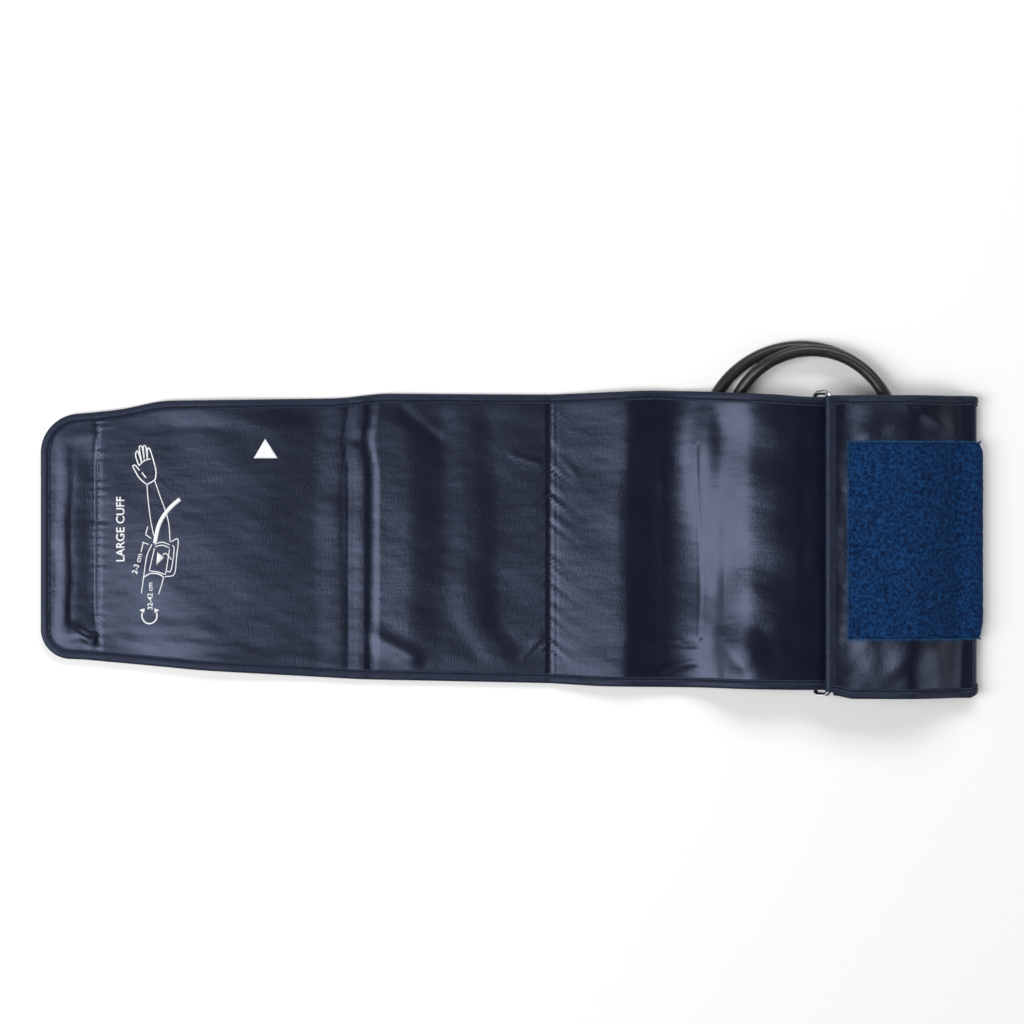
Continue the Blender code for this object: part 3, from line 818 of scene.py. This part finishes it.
def make_port(looks):
    """The bladder's port: a flange under the skin, and an elbow that ends in the hose's nozzle."""
    flange_top = RAISED_Z - FACE_D - 0.0003
    flange_height = 0.0012
    place = Matrix.Translation((PORT.x, PORT.y, flange_top - flange_height))
    profile = [(0.0062, 0.0), (0.0069, 0.0002), (0.0070, 0.0008), (0.0066, flange_height)]
    flange = turned("port_flange_look", profile, place, looks["port"], 48)
    bend_r = 0.0030
    line = [(PORT.x, PORT.y, flange_top - 0.0009)]
    for a in np.radians(np.linspace(0, 90, 9)):
        line.append((PORT.x, PORT.y + bend_r * (1 - math.cos(a)), PORT.z + bend_r * (1 - math.sin(a))))
    line.append((PORT.x, PORT.y + NOZZLE_LENGTH, PORT.z))
    elbow = curve_tube("port_elbow_look", line, NOZZLE_R, looks["port"])
    for piece in (flange, elbow):
        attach(piece, "cuff")
        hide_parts("bladder_port")


# ---- Camera, light and floor -------------------------------------------------------------------

def make_camera():
    data = bpy.data.cameras.new("camera")
    data.sensor_width = SENSOR_WIDTH
    data.lens = SENSOR_WIDTH * (CAMERA_HEIGHT - MIDDLE_Z) / PICTURE_WIDTH
    data.clip_end = 50.0
    camera = bpy.data.objects.new("camera", data)
    camera.location = (*CAMERA_AT, CAMERA_HEIGHT)
    bpy.context.scene.collection.objects.link(camera)
    bpy.context.scene.camera = camera


def area_light(name, place, aim, size, power):
    data = bpy.data.lights.new(name, "AREA")
    data.shape = "RECTANGLE"
    data.size, data.size_y = size
    data.energy = power
    light = bpy.data.objects.new(name, data)
    light.location = place
    light.rotation_mode = "QUATERNION"
    light.rotation_quaternion = (Vector(aim) - Vector(place)).to_track_quat("-Z", "Y")
    bpy.context.scene.collection.objects.link(light)


def make_studio():
    floor_look = Look("floor_look", (0.86, 0.86, 0.86), 0.7)
    floor_look.bump(floor_look.noise(300.0), 0.00005, 0.2)
    size = 3.0
    corners = [(-size, -size, FLOOR_Z), (size, -size, FLOOR_Z), (size, size, FLOOR_Z), (-size, size, FLOOR_Z)]
    floor = new_object("floor", corners, [(0, 1, 2, 3)], floor_look.material)

    world = bpy.data.worlds.new("studio")
    world.use_nodes = True
    world.node_tree.nodes["Background"].inputs["Color"].default_value = (0.95, 0.97, 1.0, 1.0)
    world.node_tree.nodes["Background"].inputs["Strength"].default_value = 0.10
    bpy.context.scene.world = world
    area_light("softbox_left", (-1.22, -0.20, 1.48), (-0.05, 0.0, 0.0), (0.9, 1.3), 25.5)
    area_light("softbox_low", (-1.8, -0.1, 0.55), (0.0, 0.0, 0.0), (1.3, 0.6), 4.5)
    area_light("softbox_high", (-0.55, -0.50, 1.95), (-0.05, 0.0, 0.0), (0.5, 0.8), 10.0)
    area_light("softbox_back", (0.4, 1.5, 1.4), (0.0, 0.0, 0.0), (2.0, 0.8), 25.0)
    area_light("softbox_right", (1.5, -0.5, 0.75), (0.2, 0.0, 0.0), (0.8, 1.0), 5.5)
    bpy.context.scene.view_settings.view_transform = "Standard"


# ---- The strip's cloth -------------------------------------------------------------------------

def bend_tip(piece):
    """Bakes piece's place into its mesh."""
    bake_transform(piece)


def bend_tail(piece):
    """The same, for pieces of the middle and the cuff."""
    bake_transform(piece)


def make_cloth(looks):
    tip_line = tip_stations(SKIN_INSET, SPLIT_X)
    long_line = stations(SPLIT_X, flap_s(FLAP_END_X))
    for name, line, bend, nodes in (
        ("tip", tip_line, bend_tip, ("tip_{}_skin", "middle_{}_skin")),
        ("long", long_line, bend_tail, ("middle_{}_skin", "{}_skin")),
    ):
        s, y = strip_grid(line, SKIN_INSET)
        for face, side in (("arm", 1), ("outer", -1)):
            d = side * SKIN_D + (bulge(s, y) if side == 1 else 0.0)
            piece = shell(f"{name}_{face}_cloth", s, y, d, SKIN_T, looks[face])
            bend(piece)
            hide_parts(*[n.format(face) for n in nodes])


# ---- Binding and stitches ----------------------------------------------------------------------

def outline_tip():
    """The edge from the split, round the tip and back to the split, with its inward direction."""
    line = tip_stations(0.0, SPLIT_X)
    low, high = edges(line)
    straight = np.linspace(low[0], high[0], 60)[1:-1]
    s = np.concatenate([line[::-1], np.full(len(straight), line[0]), line])
    y = np.concatenate([low[::-1], straight, high])
    ds = np.gradient(s)
    dy = np.gradient(y)
    size = np.hypot(ds, dy)
    in_s, in_y = dy / size, -ds / size
    in_s[[0, -1]] = 0.0
    in_y[0], in_y[-1] = 1.0, -1.0
    return s, y, in_s, in_y


def outline_side(side):
    """The front (0) or back (1) edge from the split to the binding's end, with its inward direction."""
    s = stations(SPLIT_X, flap_s(BINDING_END_X))
    y = edges(s)[side]
    return s, y, np.zeros(len(s)), np.full(len(s), 1.0 if side == 0 else -1.0)


def binding_section():
    """The tape's closed section: (way in, height), round its outside, then back along its inside."""
    outside = [(BINDING_W, 0.00108), (BINDING_W - 0.0003, 0.00124), (0.0048, 0.00138), (STITCH_IN, 0.00088),
               (0.0036, 0.00138), (0.0025, 0.00152)]
    arc = [(BINDING_R * (1 - math.cos(a)), BINDING_R * math.sin(a))
           for a in np.radians(np.linspace(90, -90, 13))]
    other = [(reach, -height) for reach, height in outside[::-1]]
    inner_r = BINDING_R - BINDING_T
    inner = [(BINDING_R - inner_r * math.cos(a), -inner_r * math.sin(a))
             for a in np.radians(np.linspace(90, -90, 7))]
    return np.array(outside + arc + other + [(BINDING_W, -inner_r)] + inner + [(BINDING_W, inner_r)])


def sweep_binding(name, outline, look):
    s, y, in_s, in_y = outline
    section = binding_section()
    reach, height = section[:, 0], section[:, 1]
    gathers = 1.0 + 0.05 * np.sin(2 * math.pi * np.arange(len(s)) * 0.31)
    height = height[None, :] * np.where(reach > 0.0015, gathers[:, None], 1.0)
    points = at(s[:, None] + in_s[:, None] * reach, y[:, None] + in_y[:, None] * reach, height)
    made = new_object(name, points.reshape(-1, 3), tube_faces(*points.shape[:2]), look, sharp=55)
    face_outwards(made)
    return made


def stitch_row(name, lines, look, pitch=0.0030, length=0.0021, radius=0.00022):
    """Stitches along each line of surface points: small rounded threads end to end."""
    sides = 6
    shape = [(0.0, 0.15), (0.12, 0.8), (0.5, 1.0), (0.88, 0.8), (1.0, 0.15)]
    vertices, faces = [], []
    for points, normals in lines:
        along = distances(points)
        for k in range(int(along[-1] / pitch)):
            span = [k * pitch + 0.0003, k * pitch + 0.0003 + length]
            ends = [np.array([np.interp(t, along, points[:, c]) for c in range(3)]) for t in span]
            up = np.array([np.interp(span[0], along, normals[:, c]) for c in range(3)])
            direction = (ends[1] - ends[0]) / np.linalg.norm(ends[1] - ends[0])
            side = np.cross(up, direction)
            side /= np.linalg.norm(side)
            up = np.cross(direction, side)
            faces += tube_faces(len(shape), sides, len(vertices))
            for t, size in shape:
                arch = 4 * t * (1 - t) * radius * 0.5
                centre = ends[0] + (ends[1] - ends[0]) * t + up * (arch - radius * 0.2)
                for q in range(sides):
                    a = 2 * math.pi * q / sides
                    vertices.append(centre + radius * size * (side * math.cos(a) + up * math.sin(a)))
    return new_object(name, vertices, faces, look)


def seam(s, y, d, side=1.0):
    """A line of surface points and their normals, on the arm's side or (-1) on the other."""
    return at(s, y, d), normal_at(s, y, d) * side


def edge_seams(outline):
    s, y, in_s, in_y = outline
    s_in, y_in = s + in_s * STITCH_IN, y + in_y * STITCH_IN
    return [seam(s_in, y_in, 0.00100), seam(s_in, y_in, -0.00100, -1.0)]


def across_seam(x, low, high, d, side=1.0):
    y = np.linspace(low, high, 160)
    return seam(np.full(len(y), x), y, np.full(len(y), d), side)


def make_binding(looks):
    tip = sweep_binding("tip_binding_look", outline_tip(), looks["tape"])
    bend_tip(tip)
    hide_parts("tip_binding", "middle_binding_front", "middle_binding_back")
    for side, where in enumerate(("front", "back")):
        piece = sweep_binding(f"{where}_binding_look", outline_side(side), looks["tape"])
        bend_tail(piece)
        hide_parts(f"binding_{where}", f"middle_binding_{where}")

    hook_low, hook_high = HOOK_BOX
    tip_lines = edge_seams(outline_tip())
    tip_lines += [
        across_seam(hook_high.x + 0.0008, hook_low.y - 0.006, hook_high.y + 0.006, FACE_D - 0.0001),
        across_seam(hook_low.x + 0.0010, hook_low.y, hook_high.y, -FACE_D - 0.0012, -1.0),
    ]
    tip_stitches = stitch_row("tip_stitches", tip_lines, looks["thread"])
    bend_tip(tip_stitches)

    low, high = edges(TAIL_CREASE_X)
    long_lines = edge_seams(outline_side(0)) + edge_seams(outline_side(1))
    for shift in (0.0, 0.0036):
        long_lines.append(across_seam(TAIL_CREASE_X + shift, low + 0.006, high - 0.006, FACE_D))
        long_lines.append(across_seam(TAIL_CREASE_X + shift, low + 0.006, high - 0.006, -FACE_D, -1.0))
    long_stitches = stitch_row("long_stitches", long_lines, looks["thread"])
    bend_tail(long_stitches)


# ---- Patches -----------------------------------------------------------------------------------

def loop_swell(s, y):
    """How far the stiff loop patch stands off the cloth as it turns round the fold."""
    along = step(s, FOLD_X + 0.001, FOLD_X + 0.006) * (1.0 - step(s, FOLD_END - 0.002, FOLD_END + 0.012))
    across = step(y, LOOP_Y[0], LOOP_Y[0] + 0.010) * (1.0 - step(y, LOOP_Y[1] - 0.006, LOOP_Y[1]))
    return 0.0024 * along * (0.35 + 0.65 * across)


def make_bladder(looks):
    """The flat rubber bag between the two skins, out of sight."""
    s, y = band_grid(stations(BLADDER[0].x, BLADDER[1].x, 0.0025), BLADDER[0].y, BLADDER[1].y, 0.0040)
    piece = shell("bladder_look", s, y, np.full(s.shape, 0.00075), 0.0012, looks["port"])
    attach(piece, "cuff")
    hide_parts("bladder")


def make_loop_patch(looks):
    """The pile patch, fine where it shows and coarse below, with a ragged edge."""
    seen = FOLD_X - 0.006
    end = flap_s(LOOP_END_X)
    pitch = 0.0008
    line = np.concatenate([stations(LOOP_BOX[0].x, seen, 0.0030)[:-1], stations(seen, end, pitch)])
    s, y = band_grid(line, *LOOP_Y, pitch * 1.1)
    ragged = 0.0004 * random.standard_normal(s.shape)
    edge = np.zeros(s.shape, bool)
    edge[:, [0, -1]] = True
    y = y + np.where(edge, ragged, 0.0)
    s[-1] += 0.0004 * random.standard_normal(s.shape[1])
    tufts = random.uniform(0.0, 1.0, s.shape)
    smooth = (tufts + np.roll(tufts, 1, 0) + np.roll(tufts, 1, 1) + np.roll(tufts, -1, 0)) / 4
    inside = step(np.minimum(y - LOOP_Y[0], LOOP_Y[1] - y), -0.0002, 0.0022)
    inside *= step(end - s, -0.0002, 0.0022)
    pile_height = 0.00055 * smooth * (0.3 + 0.7 * inside) - 0.0004 * (1.0 - inside)
    middle_d = PATCH_D + 0.00025 - loop_swell(s, y)
    patch = shell("loop_patch_look", s, y, middle_d, PATCH_T - 0.0005, looks["pile"], extra=pile_height)
    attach(patch, "cuff")
    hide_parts("loop_patch")


def make_hook_patch(looks):
    low, high = HOOK_BOX
    line = stations(low.x, high.x, 0.0010)
    s, y = band_grid(line, low.y, high.y, 0.0012)
    hooks = 0.00022 * random.uniform(0.0, 1.0, s.shape)
    hook = shell("hook_patch_look", s, y, np.full(s.shape, PATCH_D + 0.0002), PATCH_T - 0.0004,
                 looks["hook"], extra=hooks)
    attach(hook, "tail_tip")
    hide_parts("hook_patch")


def make_fuzz(looks):
    """Loose loops that stand out of the pile, in a lighter blue that is a painted highlight along its edges.
    A fourth lies anywhere, the rest on three of its edges.
    """
    count = 4200
    start, end = FOLD_X + 0.003, flap_s(LOOP_END_X)
    share = random.uniform(0.0, 1.0, count)
    kind = random.integers(0, 4, count)
    s = np.where(kind == 0, end, start + (end - start) * share)
    y = LOOP_Y[0] + (LOOP_Y[1] - LOOP_Y[0]) * random.uniform(0.0, 1.0, count)
    y = np.where(kind == 1, LOOP_Y[0], np.where(kind == 2, LOOP_Y[1], y))
    lean_s = random.normal(0.0, 0.5, count) + 0.9 * (kind == 0)
    lean_y = random.normal(0.0, 0.5, count) + 0.9 * (kind == 2) - 0.9 * (kind == 1)
    tall = random.uniform(0.0004, 0.0009, count)
    base = PATCH_D - PATCH_T / 2 + 0.0004
    levels = []
    for t in (0.0, 0.5, 1.0):
        y_here = y + lean_y * tall * 1.6 * t
        d_here = base - tall * (1.6 * t - 0.7 * t * t) - loop_swell(s, y)
        levels.append(at(s + lean_s * tall * 1.6 * t, y_here, d_here))
    vertices, faces = [], []
    for k in range(count):
        faces += tube_faces(3, 3, len(vertices))
        for level, size in zip(levels, (0.00007, 0.00006, 0.00002)):
            point = level[k]
            vertices += [point + np.array([size, 0, 0]), point + np.array([-size / 2, size, 0]),
                         point + np.array([-size / 2, -size, size])]
    # The loops' lighter blue is a painted highlight along the pile's edges.
    fuzz = new_object("loop_pile_fuzz", vertices, faces, looks["fuzz_highlight"])
    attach(fuzz, "cuff")


# ---- Ring and sleeve ---------------------------------------------------------------------------

def make_ring(looks):
    across = Vector((OTHER_BAR[0] - BAR_X, 0.0, OTHER_BAR[1] - BAR_Z))
    width = across.length
    across.normalize()
    half = RING_HALF_LENGTH - RING_CORNER_R
    corners = [(RING_CORNER_R, half, 90), (RING_CORNER_R, -half, 180),
               (width - RING_CORNER_R, -half, 270), (width - RING_CORNER_R, half, 0)]
    points = []
    for u, y, first in corners:
        for k in range(13):
            a = math.radians(first + 90 * k / 12)
            spot = across * (u + RING_CORNER_R * math.cos(a)) + Vector((BAR_X, 0.0, BAR_Z))
            points.append((spot.x, y + RING_CORNER_R * math.sin(a), spot.z))
    ring = curve_tube("ring_look", points, WIRE_R, looks["steel"], cyclic=True, resolution=8)
    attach(ring, "bar_ring")
    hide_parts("ring")


def make_sleeve(looks):
    """The flap's hem round the ring's bar, from its lap below to the flap's end on top."""
    lap = [(x, BAR_Z - SLEEVE_R) for x in np.linspace(SLEEVE_LAP_X, BAR_X, 10)[:-1]]
    bend = [(BAR_X + SLEEVE_R * math.cos(a), BAR_Z + SLEEVE_R * math.sin(a))
            for a in np.radians(np.linspace(-90, -270, 25))]
    top = [(x, BAR_Z + SLEEVE_R - 0.0003 * t) for t, x in
           zip(np.linspace(0, 1, 6)[1:], np.linspace(BAR_X, FLAP_END_X + 0.0004, 6)[1:])]
    line = np.array(lap + bend + top)
    tangent = directions(line)
    out = np.stack([tangent[:, 1], -tangent[:, 0]], axis=1)
    out *= np.sign((out * (line - np.array([BAR_X, BAR_Z]))).sum(axis=1, keepdims=True))
    y = np.linspace(*SLEEVE_Y, 150)
    ripple = 0.00010 * bump_field(np.zeros(150), y, 0.011, 41)
    rows, columns = len(line), len(y)
    grids = []
    for off in (0.0003, -0.0003):
        reach = off + ripple[None, :] * np.ones((rows, 1))
        x = line[:, 0:1] + out[:, 0:1] * reach
        z = line[:, 1:2] + out[:, 1:2] * reach
        grids.append(np.stack([x, np.broadcast_to(y, x.shape), z], axis=-1).reshape(-1, 3))
    faces = grid_faces(rows, columns) + grid_faces(rows, columns, rows * columns, flip=True)
    faces += rim_faces(rows, columns, rows * columns)
    sleeve = new_object("ring_sleeve_look", np.concatenate(grids), faces, looks["tape"], sharp=60)
    face_outwards(sleeve)
    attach(sleeve, "cuff")
    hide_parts("ring_sleeve")


def make_flap_stitches(looks):
    low, high = edges(flap_s(FLAP_END_X))
    rows = [
        across_seam(flap_s(FLAP_END_X + 0.0016), low + 0.003, high - 0.003, -FACE_D, -1.0),
        across_seam(flap_s(LOOP_END_X - 0.0006), *LOOP_Y, -FACE_D - 0.0009, -1.0),
    ]
    stitches = stitch_row("flap_stitches", rows, looks["thread"])
    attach(stitches, "cuff")


# ---- Print -------------------------------------------------------------------------------------

PRINT_AT = (-0.2287, 0.0612)
PRINT_D = FACE_D + 0.00003


def printed(a, b):
    """A point of the print, in millimetres right of and above its corner, as a place on the strip."""
    return PRINT_AT[0] + a * 0.001, PRINT_AT[1] + b * 0.001


def ribbon(points, width):
    """A flat band along points of the print: its outline's vertices and faces."""
    line = np.array(points)
    tangent = directions(line)
    side = np.stack([-tangent[:, 1], tangent[:, 0]], axis=1) * width / 2
    both = np.stack([line + side, line - side], axis=1).reshape(-1, 2)
    faces = [(2 * i, 2 * i + 1, 2 * i + 3, 2 * i + 2) for i in range(len(line) - 1)]
    return both, faces


def diagram_shapes():
    """The arm, hand, cuff and tube of the size diagram as (points, faces) in the print's plane."""
    pen, bold, tube = 0.54, 0.70, 2.2
    strokes = [
        ([(22.9, -27.9), (18.8, -24.3), (15.9, -19.5), (15.0, -17.4), (16.3, -17.0), (18.8, -19.9)], bold),
        ([(18.4, -17.3), (16.6, -11.8), (17.0, -9.2), (18.1, -9.6), (20.1, -15.9)], bold),
        ([(20.1, -15.9), (18.6, -7.6), (19.3, -6.0), (20.3, -7.0), (21.5, -14.4)], bold),
        ([(21.5, -14.4), (20.9, -6.8), (21.6, -5.8), (22.4, -6.8), (23.2, -13.6)], bold),
        ([(23.3, -13.4), (23.2, -8.2), (24.0, -7.2), (24.9, -8.6), (26.7, -14.4), (28.0, -19.9),
          (27.9, -23.8), (26.9, -25.6), (22.9, -27.9)], bold),
        ([(18.4, -17.3), (21.2, -14.6), (25.1, -13.3)], pen),
        ([(20.1, -21.0), (22.5, -24.2)], bold),
        ([(23.0, -28.2), (23.7, -36.9), (25.1, -47.9), (26.9, -57.0)], pen),
        ([(27.3, -25.4), (30.2, -33.9), (33.2, -42.0), (35.4, -50.2), (36.1, -60.0)], pen),
        ([(41.7, -36.1), (36.9, -40.2), (32.4, -45.7), (29.5, -51.6), (27.4, -61.2)], tube),
        ([(25.8, -61.6), (22.9, -68.6), (21.2, -79.7), (19.8, -89.6)], pen),
        ([(32.6, -80.0), (31.2, -85.0), (29.6, -90.0)], pen),
        ([(21.0, -80.4), (25.1, -78.2), (29.5, -78.5), (32.7, -80.4)], bold),
        ([(27.4, -61.6), (31.7, -60.5), (36.0, -62.0)], pen),
        ([(27.6, -63.0), (31.7, -62.2), (35.8, -63.7)], pen),
        ([(33.2, -80.0), (38.5, -78.5), (39.8, -68.6), (40.6, -59.0), (36.4, -60.3)], pen),
        ([(34.4, -77.0), (36.7, -76.2), (38.4, -64.9), (37.6, -62.2)], pen),
        ([(36.9, -70.4), (35.6, -68.8), (33.6, -66.8), (31.9, -67.6)], pen),
        ([(23.5, -51.6), (22.3, -56.2)], pen),
        ([(22.3, -56.2), (25.4, -58.4)], pen),
        ([(20.4, -60.4), (24.0, -61.8)], pen),
        ([(21.0, -60.6), (19.6, -66.2)], pen),
    ]
    shapes = [ribbon(smooth_line(points, 6), width) for points, width in strokes]
    window = [(27.3, -63.8), (24.3, -76.7), (28.8, -77.2), (33.6, -78.8), (35.8, -64.4)]
    for a, b in zip(window[:-1], window[1:]):
        shapes.append(ribbon(smooth_line([a, b], 8), pen))
    turn = np.linspace(-0.35, math.pi + 0.35, 30)
    arc = [(24.4 + 4.3 * math.cos(t), -102.0 - 4.6 * math.sin(t)) for t in turn]
    shapes.append(ribbon(arc, 0.8))
    for tip in (
        [(18.7, -98.9), (21.7, -97.9), (21.4, -100.7)],
        [(30.1, -98.9), (27.1, -97.9), (27.4, -100.7)],
        [(28.9, -66.2), (32.7, -69.1), (28.3, -73.4)],
    ):
        shapes.append((np.array(tip), [(0, 1, 2)]))
    return shapes


def lettering(text, size, place, turn):
    """Text as flat points and faces in the print's plane, turned by turn degrees about place."""
    data = bpy.data.curves.new("lettering", "FONT")
    data.body = text
    data.size = size
    data.offset = size * 0.017
    data.align_x, data.align_y = "CENTER", "CENTER"
    holder = bpy.data.objects.new("lettering", data)
    bpy.context.scene.collection.objects.link(holder)
    bpy.context.view_layer.update()
    mesh = bpy.data.meshes.new_from_object(holder.evaluated_get(bpy.context.evaluated_depsgraph_get()))
    points = np.array([(v.co.x, v.co.y) for v in mesh.vertices])
    faces = [tuple(p.vertices) for p in mesh.polygons]
    bpy.data.objects.remove(holder, do_unlink=True)
    bpy.data.meshes.remove(mesh)
    c, s = math.cos(math.radians(turn)), math.sin(math.radians(turn))
    turned_points = points @ np.array([[c, s], [-s, c]])
    return turned_points + np.array(place), faces


def ink_piece(name, shapes, look):
    vertices, faces = [], []
    for points, polygons in shapes:
        first = len(vertices)
        x, y = printed(points[:, 0], points[:, 1])
        vertices += list(at(x, y, PRINT_D))
        for polygon in polygons:
            spots = [vertices[first + k] for k in polygon[:3]]
            up = np.cross(spots[1] - spots[0], spots[2] - spots[0])[2] > 0.0
            order = polygon if up else polygon[::-1]
            faces.append(tuple(first + k for k in order))
    made = new_object(name, vertices, faces, look)
    solid = made.modifiers.new("Thickness", "SOLIDIFY")
    solid.thickness = 0.00004
    solid.offset = 0.0
    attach(made, "tail_tip")


def make_print(looks):
    ink_piece("printed_diagram", diagram_shapes(), looks["ink"])
    words = [
        lettering("LARGE CUFF", 6.6, (8.2, -53.2), 90),
        lettering("2-3 cm", 4.3, (17.6, -72.6), 74),
        lettering("32-42 cm", 4.1, (24.9, -91.0), 90),
    ]
    ink_piece("printed_words", words, looks["ink"])
    triangle = np.array([(83.4, -13.0), (97.0, -13.0), (89.9, -1.9)])
    ink_piece("printed_triangle", [subdivided(triangle)], looks["ink"])


def subdivided(corner, steps=10):
    """A triangle as many small ones, so that it follows the cloth."""
    points, index = [], {}
    for i in range(steps + 1):
        for j in range(steps + 1 - i):
            index[(i, j)] = len(points)
            share = np.array([steps - i - j, i, j]) / steps
            points.append(share @ corner)
    faces = []
    for i in range(steps):
        for j in range(steps - i):
            faces.append((index[(i, j)], index[(i + 1, j)], index[(i, j + 1)]))
            if i + j < steps - 1:
                faces.append((index[(i + 1, j)], index[(i + 1, j + 1)], index[(i, j + 1)]))
    return np.array(points), faces


def main():
    looks = make_looks()
    make_camera()
    make_hose(looks)
    make_port(looks)
    make_studio()
    make_cloth(looks)
    make_binding(looks)
    make_bladder(looks)
    make_loop_patch(looks)
    make_hook_patch(looks)
    make_fuzz(looks)
    make_ring(looks)
    make_sleeve(looks)
    make_flap_stitches(looks)
    make_print(looks)


main()
